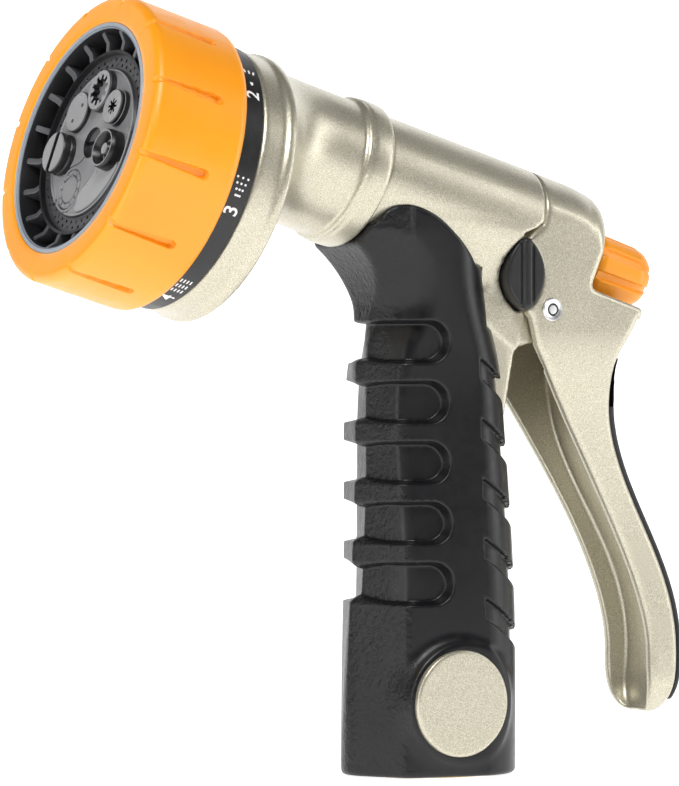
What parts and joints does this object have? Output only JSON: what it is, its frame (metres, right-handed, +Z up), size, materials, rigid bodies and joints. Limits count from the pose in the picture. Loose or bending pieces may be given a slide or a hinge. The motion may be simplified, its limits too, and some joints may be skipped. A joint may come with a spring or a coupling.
{
  "type": "hose spray nozzle",
  "caption": "Pistol-grip garden hose nozzle with a rear trigger, flow knob, push-through trigger lock, rubber grip and a turning spray-pattern head.",
  "frame": {"origin": "centre of the hose inlet's mouth, at the foot of the grip", "axes": "+Z up the grip from the inlet, +X the way it sprays, +Y its left side"},
  "size_m": [0.1497, 0.0592, 0.1568],
  "materials": {
    "champagne_paint": "satin metallic",
    "orange_plastic": "satin",
    "black_rubber": "grained",
    "seal_rubber": "smooth",
    "black_plastic": "fine matt",
    "grey_plastic": "satin",
    "trim_plastic": "satin",
    "steel": "turned",
    "brass": "turned"
  },
  "bodies": {
    "body": {"body_casting": "champagne_paint", "front_neck": "champagne_paint", "neck_oring": "seal_rubber", "grip_sleeve": "black_rubber", "badge_left": "champagne_paint", "badge_right": "champagne_paint", "inlet_insert": "brass", "hose_washer": "seal_rubber", "inlet_filter": "steel", "pivot_pin": "steel", "pin_clip": "steel", "packing_gland": "brass", "gland_oring": "seal_rubber", "return_spring": "steel", "centre_screw": "steel", "screw_washer": "steel", "port_seal": "seal_rubber", "port_spring": "steel", "detent_ball": "steel", "detent_spring": "steel"},
    "trigger": {"trigger_lever": "champagne_paint", "lever_pad": "black_rubber"},
    "stem": {"valve_stem": "steel", "valve_plunger": "brass", "plunger_seal": "seal_rubber"},
    "knob_carriage": {"thrust_washer": "steel"},
    "knob": {"flow_knob": "orange_plastic", "knob_insert": "brass"},
    "selector": {"turret_back": "black_plastic", "index_band": "black_plastic", "selector_ring": "orange_plastic", "head_housing": "black_plastic", "trim_ring": "trim_plastic", "pattern_plate": "grey_plastic", "jet_insert": "grey_plastic", "cone_insert": "grey_plastic", "mist_insert": "grey_plastic", "flat_insert": "grey_plastic", "angle_insert": "grey_plastic"},
    "lock": {"lock_button": "black_plastic", "lock_bolt": "steel", "lock_button_far": "black_plastic"}
  },
  "joints": [
    {"name": "trigger_pull", "type": "hinge", "parent": "body", "child": "trigger", "pos_m": [-0.02215, 0, 0.09552], "axis": [0, -1, 0], "range_deg": [0, 20], "stiffness_Nm_per_rad": 0.23, "springref_deg": -51.57},
    {"name": "stem_slide", "type": "slide", "parent": "body", "child": "stem", "axis": [-0.9588, 0, -0.284], "range_m": [0, 0.005], "deforming": ["return_spring"]},
    {"name": "knob_advance", "type": "slide", "parent": "stem", "child": "knob_carriage", "axis": [-0.9588, 0, -0.284], "range_m": [0, 0.003]},
    {"name": "knob_turn", "type": "hinge", "parent": "knob_carriage", "child": "knob", "pos_m": [0, 0, 0.1172], "axis": [-0.9588, 0, -0.284], "range_deg": [0, 1140]},
    {"name": "selector_turn", "type": "hinge", "parent": "body", "child": "selector", "pos_m": [0.00341, 0, 0.10569], "axis": [0.9588, 0, 0.284], "continuous": true},
    {"name": "lock_push", "type": "slide", "parent": "body", "child": "lock", "axis": [0, -1, 0], "range_m": [0, 0.003]}
  ],
  "couplings": [
    {"joint": "stem_slide", "follows": "trigger_pull", "m_per_rad": 0.0138},
    {"joint": "knob_turn", "follows": "knob_advance", "rad_per_m": 6283.2}
  ]
}
